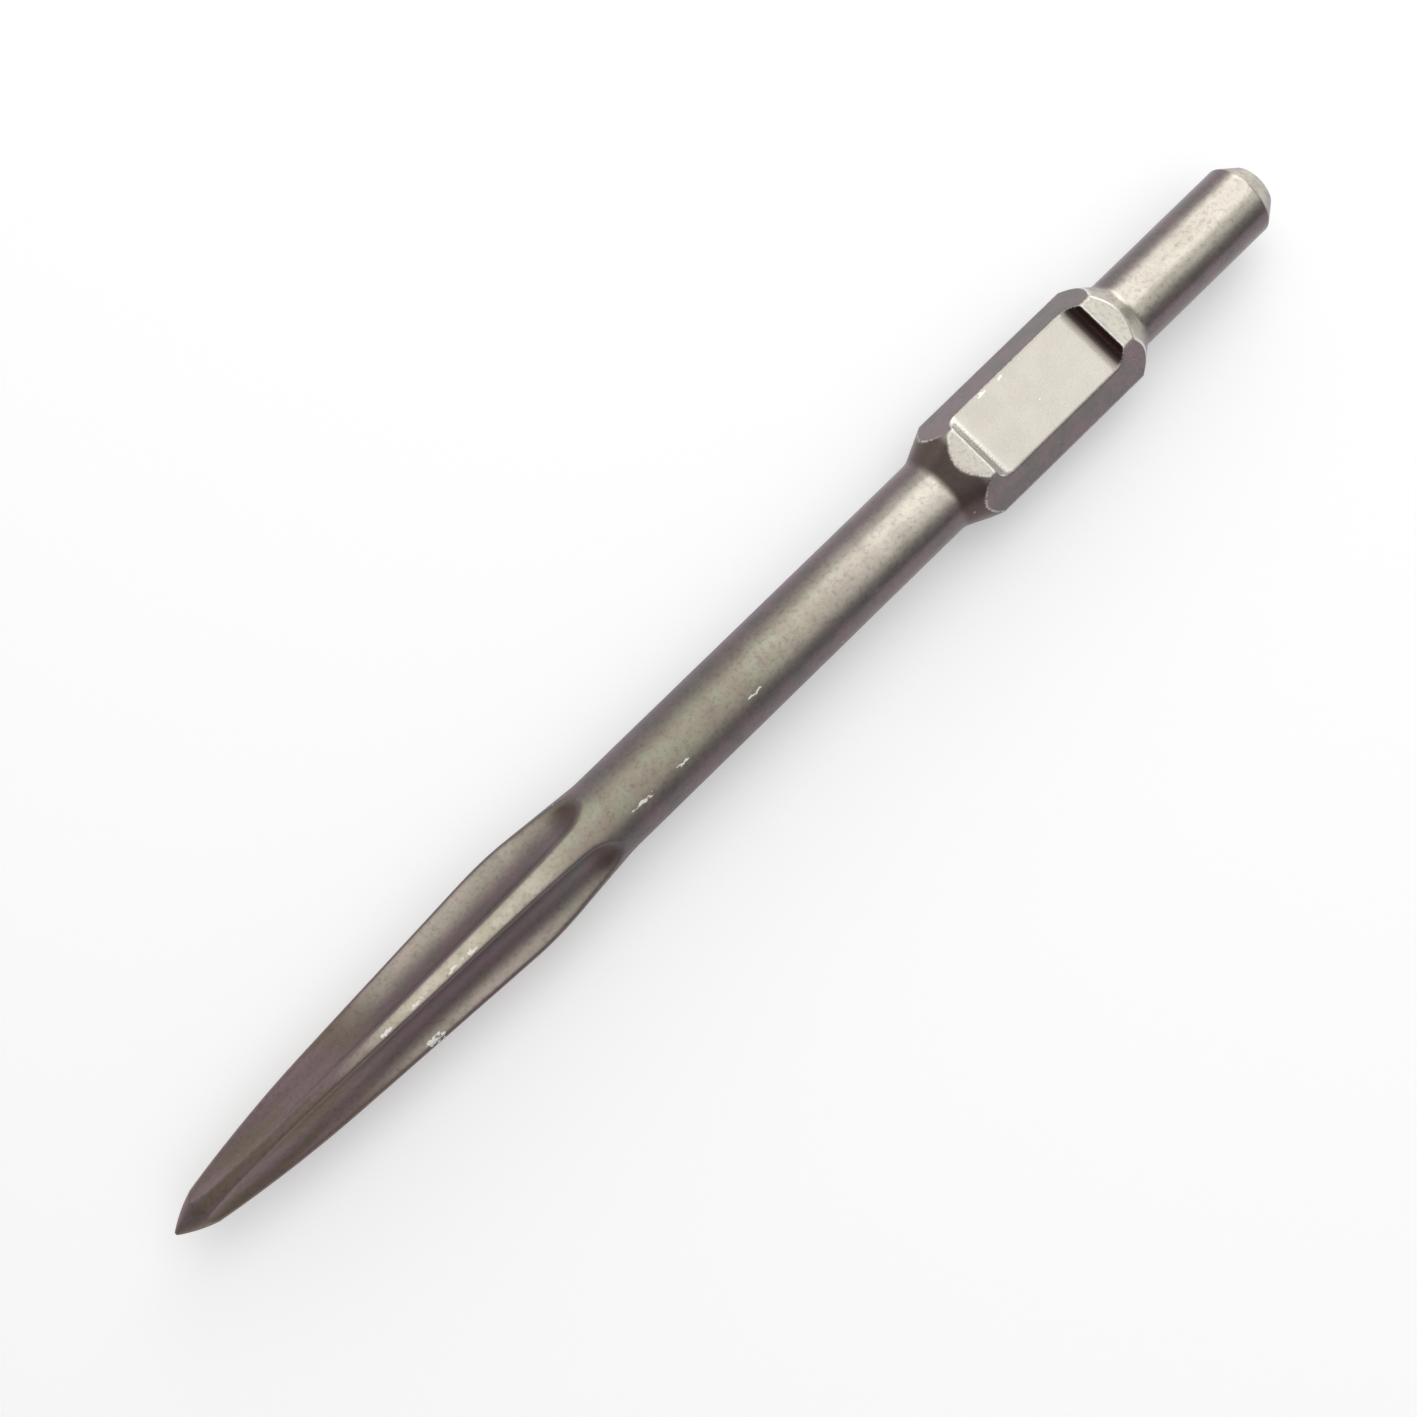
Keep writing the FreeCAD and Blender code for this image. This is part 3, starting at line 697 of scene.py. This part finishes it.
# %% Bake the chisel


def bake(drawing, tree, name, values):
    """Run a tree on a drawing and return the plain object that it makes."""
    source = bpy.data.objects.new(name + "_drawing", drawing)
    bpy.context.scene.collection.objects.link(source)
    modifier = source.modifiers.new("Nodes", "NODES")
    modifier.node_group = tree
    for item in tree.interface.items_tree:
        if item.in_out == "INPUT" and item.name in values:
            modifier[item.identifier] = values[item.name]
    graph = bpy.context.evaluated_depsgraph_get()
    mesh = bpy.data.meshes.new_from_object(source.evaluated_get(graph))
    source.modifiers.clear()
    bpy.data.objects.remove(source)
    mesh.name = name
    made = bpy.data.objects.new(name, mesh)
    bpy.context.scene.collection.objects.link(made)
    return made


steel = bpy.data.materials.new("forged_steel")
chisel = bake(outline_mesh, bar_tree, "chisel_steel", {"Steels": steel})


def largest_gap(points, surface):
    """The largest distance from the points to the nearest place on a surface."""
    return max(surface.find_nearest(point)[3] for point in points)


def surface_of(mesh):
    """A search tree over a mesh's faces."""
    return BVHTree.FromPolygons(
        [vertex.co for vertex in mesh.vertices], [face.vertices for face in mesh.polygons]
    )


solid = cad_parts["pointed_chisel"].data
print(len(chisel.data.vertices), "points,", len(chisel.data.polygons), "faces")
print("Largest gap to the solid", round(
    largest_gap((vertex.co for vertex in chisel.data.vertices), surface_of(solid)) / MM, 3), "mm")
print("Largest gap from the solid", round(
    largest_gap((vertex.co for vertex in solid.vertices), surface_of(chisel.data)) / MM, 3), "mm")
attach(chisel, "root")
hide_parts("pointed_chisel")

# %% [markdown]
# ## Tools for the finish
#
# A finish is built from a few effects: patchy scale, fine grain, and wear on edges. Each
# is a shader node group with named inputs, so that the steel can call it with its own
# values. The same arithmetic on sockets serves here, and two more helpers mix colours and
# read the masks that the bar's tree stored.

# %% Helpers for shader groups
def colour(code):
    """A linear colour from the three bytes that a painter would pick on a screen."""
    def linear(byte):
        value = byte / 255
        return value / 12.92 if value <= 0.04045 else ((value + 0.055) / 1.055) ** 2.4

    return (*(linear(int(code[start:start + 2], 16)) for start in (0, 2, 4)), 1)


def mix_colours(factor, first, second):
    """Blend from the first colour to the second by a factor."""
    node = factor.tree.nodes.new("ShaderNodeMix")
    node.data_type = "RGBA"
    plug(node.inputs["Factor"], factor)
    colour_inputs = [socket for socket in node.inputs if socket.type == "RGBA"]
    for slot, value in zip(colour_inputs, (first, second)):
        plug(slot, value)
    return Wire(factor.tree, [socket for socket in node.outputs if socket.type == "RGBA"][0])


def mask(tree, name):
    """A mask that the bar's tree stored."""
    node = tree.nodes.new("ShaderNodeAttribute")
    node.attribute_name = name
    return Wire(tree, node.outputs["Fac"])


def noise_at(place, scale, detail=4.0, roughness=0.5):
    """Smooth random values from about 0.2 to 0.8 at a place."""
    node = place.tree.nodes.new("ShaderNodeTexNoise")
    plug(node.inputs["Vector"], place)
    plug(node.inputs["Scale"], scale)
    node.inputs["Detail"].default_value = detail
    node.inputs["Roughness"].default_value = roughness
    return Wire(place.tree, node.outputs[0])


def ramp(value, low, high):
    """0 below low, 1 above high, and smooth between them."""
    node = value.tree.nodes.new("ShaderNodeMapRange")
    node.interpolation_type = "SMOOTHSTEP"
    plug(node.inputs["Value"], value)
    plug(node.inputs["From Min"], low)
    plug(node.inputs["From Max"], high)
    return Wire(value.tree, node.outputs[0])


def new_effect(name, inputs, outputs):
    """An empty shader group, its inputs as wires and the node that takes its outputs."""
    tree = bpy.data.node_groups.new(name, "ShaderNodeTree")
    for label, (kind, value) in inputs.items():
        socket = tree.interface.new_socket(label, in_out="INPUT", socket_type=kind)
        if value is not None:
            socket.default_value = value
    for label, kind in outputs.items():
        tree.interface.new_socket(label, in_out="OUTPUT", socket_type=kind)
    given = tree.nodes.new("NodeGroupInput")
    result = tree.nodes.new("NodeGroupOutput")
    return tree, {label: Wire(tree, given.outputs[label]) for label in inputs}, result


def use_effect(effect, output, **inputs):
    """Place an effect and return one of its outputs."""
    tree = next(value.tree for value in inputs.values() if isinstance(value, Wire))
    node = tree.nodes.new("ShaderNodeGroup")
    node.node_tree = effect
    for label, value in inputs.items():
        plug(node.inputs[label.replace("_", " ")], value)
    return Wire(tree, node.outputs[output])


FLOAT = "NodeSocketFloat"
VECTOR = "NodeSocketVector"
print("A mid grey byte, 80, is", round(colour("808080")[0], 3), "in linear light")

# %% [markdown]
# ## Patches of scale
#
# Heated steel grows a thin, hard scale that never comes off evenly: blasting leaves some
# patches greener, some browner. Broad noise pushed through a smooth step gives patches
# with soft borders, and the sharpness says how soft. A painted picture would do as well,
# but noise in the object's own space has no seam and no edge.


# %% Patches of scale
def make_patches():
    tree, given, result = new_effect(
        "Scale Patches",
        {"Place": (VECTOR, None), "Size": (FLOAT, 60.0), "Sharpness": (FLOAT, 0.2)},
        {"Mask": FLOAT},
    )
    broad = noise_at(given["Place"], given["Size"], detail=5.0, roughness=0.6)
    plug(result.inputs["Mask"], ramp(broad, -given["Sharpness"] + 0.5, given["Sharpness"] + 0.5))
    return tree


patches = make_patches()
print("Patches:", len(patches.nodes), "nodes")

# %% [markdown]
# ## Bare specks
#
# Where the chisel was knocked about, small specks of bright bare metal show through the
# scale. They are long in one direction, as a scrape is, so the noise is squeezed along
# the bar before a high threshold picks its tips. The Amount input moves that threshold.


# %% Bare specks
SPECK_SOFTNESS = 0.04


def make_specks():
    tree, given, result = new_effect(
        "Bare Specks",
        {
            "Place": (VECTOR, None),
            "Size": (FLOAT, 700.0),
            "Stretch": (FLOAT, 3.0),
            "Amount": (FLOAT, 0.4),
        },
        {"Mask": FLOAT},
    )
    x, y, z = split(given["Place"])
    squeezed = join(x / given["Stretch"], y, z)
    grains = noise_at(squeezed, given["Size"], detail=2.0, roughness=0.5)
    threshold = -given["Amount"] * 0.5 + 0.8
    plug(result.inputs["Mask"], ramp(grains, threshold, threshold + SPECK_SOFTNESS))
    return tree


specks = make_specks()
print("Specks:", len(specks.nodes), "nodes")

# %% [markdown]
# ## One scrape
#
# A few scrapes are larger than the rest and lie where the photograph shows them: on the
# crown of the upper rib and along the side of the body. Each is a soft ball of reach
# around its centre, squeezed to a long oval and broken up by the bare specks.


# %% One scrape
def make_scrape():
    tree, given, result = new_effect(
        "Scrape",
        {
            "Place": (VECTOR, None),
            "Centre": (VECTOR, None),
            "Length": (FLOAT, 6 * MM),
            "Width": (FLOAT, 1.5 * MM),
        },
        {"Mask": FLOAT},
    )
    x, y, z = split(given["Place"])
    centre_x, centre_y, centre_z = split(given["Centre"])
    lengthwise = ((x - centre_x) / given["Length"]).squared()
    across = ((y - centre_y) / given["Width"]).squared()
    deep = ((z - centre_z) / (given["Width"] * 3)).squared()
    reach = -(lengthwise + across + deep).root() + 1
    plug(result.inputs["Mask"], reach.clamped(0, 1))
    return tree


scrape = make_scrape()
print("Scrape:", len(scrape.nodes), "nodes")

# %% [markdown]
# ## Steel
#
# One material covers the whole bar, because it is one piece of steel, and masks say how it changes:
# dark brown heat tint over the point, warm bare metal on the crown of the ribs, graded paler towards
# the crown's middle as a painted highlight, greenish grey scale on the body, purple-brown painted
# shade on the flanks that turn sideways, turned metal on the tail and, towards the collar, metal
# painted paler as painted light, and bare milled steel in the notch. The colours are laid one over
# the other like thin coats.
#
# The closed ends of the flutes and the collar's front root and cone get painted shade, near the
# darkest scale colour, and the rear wall of the notch, which faces the tip, gets near black painted
# shade. Edges and walls that face the tail get a painted highlight of pale metal, and fine grit
# dulls all of the steel that wasn't milled.

# %% Steel
TIP_TINT = (colour("837172"), colour("7a6c60"))
BODY_SCALE = (colour("979785"), colour("94897d"))
# The next two colours are painted shade: purple-brown for the faces that turn sideways, behind the
# flutes and on the point.
FLANK_SHADE = (colour("7c6c70"), colour("6d6968"))
FLUTE_SHADE = (colour("766167"), colour("6f6464"))
RIB_SIDE = (colour("beb1a6"), colour("aeaa9b"))
# Worn crown metal, also used as a painted highlight on the rib's crown.
CROWN_WEAR_AND_HIGHLIGHT = (colour("dcd4c4"), colour("c9c1ab"))
# Turned metal on the tail, also painted along the body towards the collar as painted light.
TURNED_METAL_AND_LIGHT = (colour("cdc6ba"), colour("c0b9ac"))
MILLED_METAL = (colour("bab5ab"), colour("b5b0a7"))
# Dark colour for painted shade on the flutes' closed ends and the collar's front cone, and for fine
# grit.
DARK_SHADE_AND_GRIT = colour("54433f")
# Near black painted shade for the notch's rear wall.
NOTCH_WALL_SHADE = colour("43302c")
# Pale metal for worn specks and edges, and for a painted highlight on faces towards the tail.
BARE_METAL_AND_HIGHLIGHT = colour("f0ede6")

# Distances from the tip over which one finish, painted light or painted shade gives way to the next.
TINT_FADE = (45 * MM, 95 * MM)
FLUTES_FADE = (98 * MM, 150 * MM)
CLOSED_END_FADE = (137 * MM, 145 * MM)
COLLAR_FADE = (190 * MM, 275 * MM)
CONE_FADE = 3 * MM
WANDER = 60 * MM
BUMP = 0.03 * MM

# The larger scrapes: the centre, the length and the width of each.
SCRAPES = (
    ((-0.1260, -0.0018, 0.0262), 4 * MM, 1.2 * MM),
    ((-0.1154, -0.0019, 0.0272), 4 * MM, 1.4 * MM),
    ((-0.1034, -0.0020, 0.0280), 3 * MM, 1.2 * MM),
    ((-0.0972, -0.0021, 0.0283), 6 * MM, 1.2 * MM),
    ((-0.1194, -0.0108, 0.0160), 6 * MM, 2.2 * MM),
    ((-0.0386, -0.0052, 0.0247), 6 * MM, 0.9 * MM),
    ((-0.0244, -0.0052, 0.0247), 4 * MM, 0.8 * MM),
    ((0.0015, -0.0052, 0.0247), 5 * MM, 0.7 * MM),
    ((0.1015, 0.0098, 0.0240), 3 * MM, 1.0 * MM),
    ((0.1085, 0.0098, 0.0240), 2 * MM, 1.0 * MM),
)


def blotched(pair, mottle):
    """A colour that wanders between the two of a pair."""
    return mix_colours(mottle, *pair)


def make_steel(material):
    material.use_nodes = True
    tree = material.node_tree
    shader = tree.nodes["Principled BSDF"]
    place = field(tree, "ShaderNodeTexCoord", "Object")
    along, sideways, height = split(place)
    from_tip = along - cad_low.x
    normal_x, normal_y, normal_z = (mask(tree, f"facing_{axis}") for axis in "xyz")
    turned_away = normal_y * sideways.math("SIGN")

    mottle = use_effect(patches, "Mask", Place=place, Size=140.0, Sharpness=0.14)
    drift = noise_at(place, 45.0, detail=3.0)
    fine = noise_at(place, 1500.0, detail=4.0, roughness=0.6)
    crest = mask(tree, "crest")
    fluted = mask(tree, "fluted")
    milled = mask(tree, "milled")
    edge = mask(tree, "edge")

    wander = (drift - 0.5) * WANDER
    behind_tint = ramp(from_tip + wander, *TINT_FADE)
    behind_flutes = ramp(from_tip + wander * 0.2, *FLUTES_FADE)
    near_collar = ramp(from_tip + wander * 0.3, *COLLAR_FADE)
    # Where upward is 0 the face turns sideways, and the steel there gets painted shade.
    upward = -ramp(turned_away, 0.3, 0.75) + 1
    streaks = noise_at(join(along / 6, sideways, height), 260.0, detail=3.0)

    # Towards the collar the top side is painted paler as painted light; on the tail this is turned
    # metal.
    topside = mix_colours(near_collar, blotched(BODY_SCALE, mottle), blotched(TURNED_METAL_AND_LIGHT, mottle))
    ridge = mix_colours(behind_flutes, blotched(CROWN_WEAR_AND_HIGHLIGHT, mottle), topside)
    rib_side = mix_colours(behind_flutes, blotched(RIB_SIDE, mottle), topside)
    # The colour called hollow is painted shade for the sideways flanks, and a little of it darkens
    # the flutes.
    hollow = mix_colours(behind_flutes, blotched(FLUTE_SHADE, mottle), blotched(FLANK_SHADE, mottle))
    # Towards the middle of the crown the colour grows paler: worn metal, graded as a painted
    # highlight.
    on_crown = ramp(crest, 0, 0.9)
    facing = mix_colours(upward, hollow, mix_colours(on_crown, rib_side, ridge))
    forged_steel = mix_colours(fluted * (-on_crown + 1) * 0.15, facing, hollow)
    # The closed ends of the flutes get painted shade.
    closed_end = fluted * ramp(from_tip, *CLOSED_END_FADE) * 0.8
    forged_steel = mix_colours(closed_end, forged_steel, DARK_SHADE_AND_GRIT)
    tinted = mix_colours(behind_tint, blotched(TIP_TINT, ramp(streaks, 0.4, 0.6)), forged_steel)
    # The collar's front root and cone get painted shade.
    before_hexagon = -ramp(from_tip, HEX_FRONT - CONE_FADE, HEX_FRONT) + 1
    cone = ramp(from_tip, body_end.x, cone_start.x) * before_hexagon
    planed = mask(tree, "planed")
    shaded = mix_colours(cone * (-planed + 1) * 0.85, tinted, DARK_SHADE_AND_GRIT)
    ground = milled.math("MAXIMUM", planed * ramp(normal_z, 0.9, 0.97))
    bare = mix_colours(ground, shaded, blotched(MILLED_METAL, mottle))
    # The notch's rear wall, which faces the tip, gets near black painted shade.
    wall_shade = milled * ramp(-normal_x, 0.02, 0.75)
    wall_shaded = mix_colours(wall_shade, bare, NOTCH_WALL_SHADE)

    scraped = None
    for centre, length, width in SCRAPES:
        one = use_effect(scrape, "Mask", Place=place, Centre=centre, Length=length, Width=width)
        scraped = one if scraped is None else scraped.math("MAXIMUM", one)
    amount = scraped * 0.95 + 0.05
    speckled = use_effect(specks, "Mask", Place=place, Size=1300.0, Stretch=1.8, Amount=amount)
    worn = ramp(edge * (fine + 0.4), 0.6, 1.0) * 0.5
    # Milled walls and edges that face the tail get a painted highlight.
    tail_facing_highlight = milled.math("MAXIMUM", edge) * ramp(normal_x, 0.08, 0.45)
    bright = speckled.math("MAXIMUM", worn).math("MAXIMUM", tail_facing_highlight * 0.9)
    grit = noise_at(place, 800.0, detail=3.0, roughness=0.7)
    dulled = mix_colours(ramp(grit, 0.45, 0.75) * 0.35 * (-milled + 1), wall_shaded, DARK_SHADE_AND_GRIT)
    plug(shader.inputs["Base Color"], mix_colours(bright, dulled, BARE_METAL_AND_HIGHLIGHT))

    shader.inputs["Metallic"].default_value = 0.9
    polish = near_collar * 0.14 + milled * 0.05 + on_crown * fluted * 0.05
    plug(shader.inputs["Roughness"], fine * 0.16 + 0.36 - polish)
    bump = tree.nodes.new("ShaderNodeBump")
    bump.inputs["Distance"].default_value = BUMP
    plug(bump.inputs["Height"], fine + mottle * 0.3)
    tree.links.new(bump.outputs[0], shader.inputs["Normal"])
    print("Steel:", len(tree.nodes), "nodes")


make_steel(steel)

# %% [markdown]
# ## The table
#
# The chisel lies on a plain white table, as the cleaned-up photograph has nothing round
# it. White paint that only reflects comes out grey wherever the light is dimmer, so the
# table also glows a little, but only for the camera and for what the steel mirrors. Its
# colour still takes the chisel's soft shadow.


# %% Table
TABLE_SIZE = 6
TABLE_GLOW = 0.25
TABLE_WHITE = (0.82, 0.82, 0.82, 1)


def make_table():
    """A white plane under the chisel, at the height that the solid rests on."""
    bpy.ops.mesh.primitive_plane_add(size=TABLE_SIZE, location=(0, 0, 0))
    table = bpy.context.object
    table.name = "table"
    material = bpy.data.materials.new("white_table")
    material.use_nodes = True
    tree = material.node_tree
    shader = tree.nodes["Principled BSDF"]
    shader.inputs["Base Color"].default_value = TABLE_WHITE
    shader.inputs["Roughness"].default_value = 0.7
    shader.inputs["Emission Color"].default_value = (1, 1, 1, 1)
    rays = tree.nodes.new("ShaderNodeLightPath")
    seen = Wire(tree, rays.outputs["Is Camera Ray"])
    for other in ("Is Glossy Ray", "Is Transmission Ray"):
        seen = seen.math("MAXIMUM", Wire(tree, rays.outputs[other]))
    plug(shader.inputs["Emission Strength"], seen * TABLE_GLOW)
    table.data.materials.append(material)
    return table


table = make_table()
print("The table is", TABLE_SIZE, "m wide")

# %% [markdown]
# ## The light
#
# Steel looks like what it mirrors. The photograph's reflections say where its lights
# were: a broad one overhead, the brightest one beyond the tail and to the left, a weaker
# one to the right of it and little from the tip's side, where the cone of the collar and
# the rear wall of the notch go nearly black. So large soft panels stand in those places,
# with two low ones on the brightest side, and a dim white world stands for the rest of
# the room. A single lamp would put one hard line of light on each round stretch.


# %% Light
ROOM_STRENGTH = 0.32


def soft_light(name, where, aim, size, strength):
    """A rectangular soft light; strength is the brightness of its face."""
    data = bpy.data.lights.new(name, "AREA")
    data.shape = "RECTANGLE"
    data.size, data.size_y = size
    data.energy = strength * math.pi * size[0] * size[1]
    light = bpy.data.objects.new(name, data)
    light.location = where
    light.rotation_euler = (Vector(aim) - Vector(where)).to_track_quat("-Z", "Y").to_euler()
    bpy.context.scene.collection.objects.link(light)
    print(name, "gives", round(data.energy, 1), "W")
    return light


soft_light("overhead", (-0.13, -0.15, 1.2), (-0.13, -0.15, 0), (0.85, 3.0), 0.8)
soft_light("key", (0.9, 0.55, 1.15), (0.3, 0.1, 0), (1.5, 1.6), 1.15)
soft_light("fill", (0.7, -0.45, 1.15), (0.3, -0.1, 0), (1.0, 1.2), 0.45)
soft_light("side", (0, 1.8, 0.55), (0, 0, 0.1), (3.0, 1.0), 0.5)
soft_light("tail_side", (1.4, 0.8, 0.5), (0.1, 0, 0.02), (1.3, 0.8), 1.6)

world = bpy.data.worlds.new("studio")
bpy.context.scene.world = world
world.use_nodes = True
background = world.node_tree.nodes["Background"]
background.inputs["Color"].default_value = (1, 1, 1, 1)
background.inputs["Strength"].default_value = ROOM_STRENGTH

# %% [markdown]
# ## The camera
#
# The photograph looks down on the chisel from nearly straight above, a little on the tip's
# side, and close enough for the tip to look smaller than it is. The distance, the lean
# and the lens below come from a fit of the solid's outline to the photograph's. The frame
# is turned about the line of sight, so that the chisel lies from one corner to the other.

# %% Camera
CAMERA_DISTANCE = 529.1 * MM
CAMERA_LEAN = math.radians(6.22)
CAMERA_ROLL = math.radians(5.5)
LENS = 50.81
AIM_ALONG = -8.76 * MM
AIM_ASIDE = -1.39 * MM
TIP_TO_TAIL_IN_FRAME = Vector((0.71696, -0.69712))


def place_camera():
    """Stand the camera over the chisel, in the photograph's place."""
    over = Vector((0, -math.sin(CAMERA_ROLL), math.cos(CAMERA_ROLL)))
    aside = Vector((0, -math.cos(CAMERA_ROLL), -math.sin(CAMERA_ROLL)))
    back = over * math.cos(CAMERA_LEAN) - Vector((1, 0, 0)) * math.sin(CAMERA_LEAN)
    along = Vector((1, 0, 0)) * math.cos(CAMERA_LEAN) + over * math.sin(CAMERA_LEAN)
    right = along * TIP_TO_TAIL_IN_FRAME.x - aside * TIP_TO_TAIL_IN_FRAME.y
    up = -along * TIP_TO_TAIL_IN_FRAME.y - aside * TIP_TO_TAIL_IN_FRAME.x
    aim = Vector((AIM_ALONG, 0, AXIS_HEIGHT)) + aside * AIM_ASIDE
    data = bpy.data.cameras.new("camera")
    data.lens = LENS
    data.sensor_width = 36
    camera = bpy.data.objects.new("camera", data)
    turn = Matrix((right, up, back)).transposed().to_4x4()
    camera.matrix_world = Matrix.Translation(aim + back * CAMERA_DISTANCE) @ turn
    bpy.context.scene.collection.objects.link(camera)
    bpy.context.scene.camera = camera
    return camera


camera = place_camera()
bpy.context.scene.view_settings.view_transform = "Standard"
print("The camera stands at", [round(part, 3) for part in camera.matrix_world.translation])

# %% [markdown]
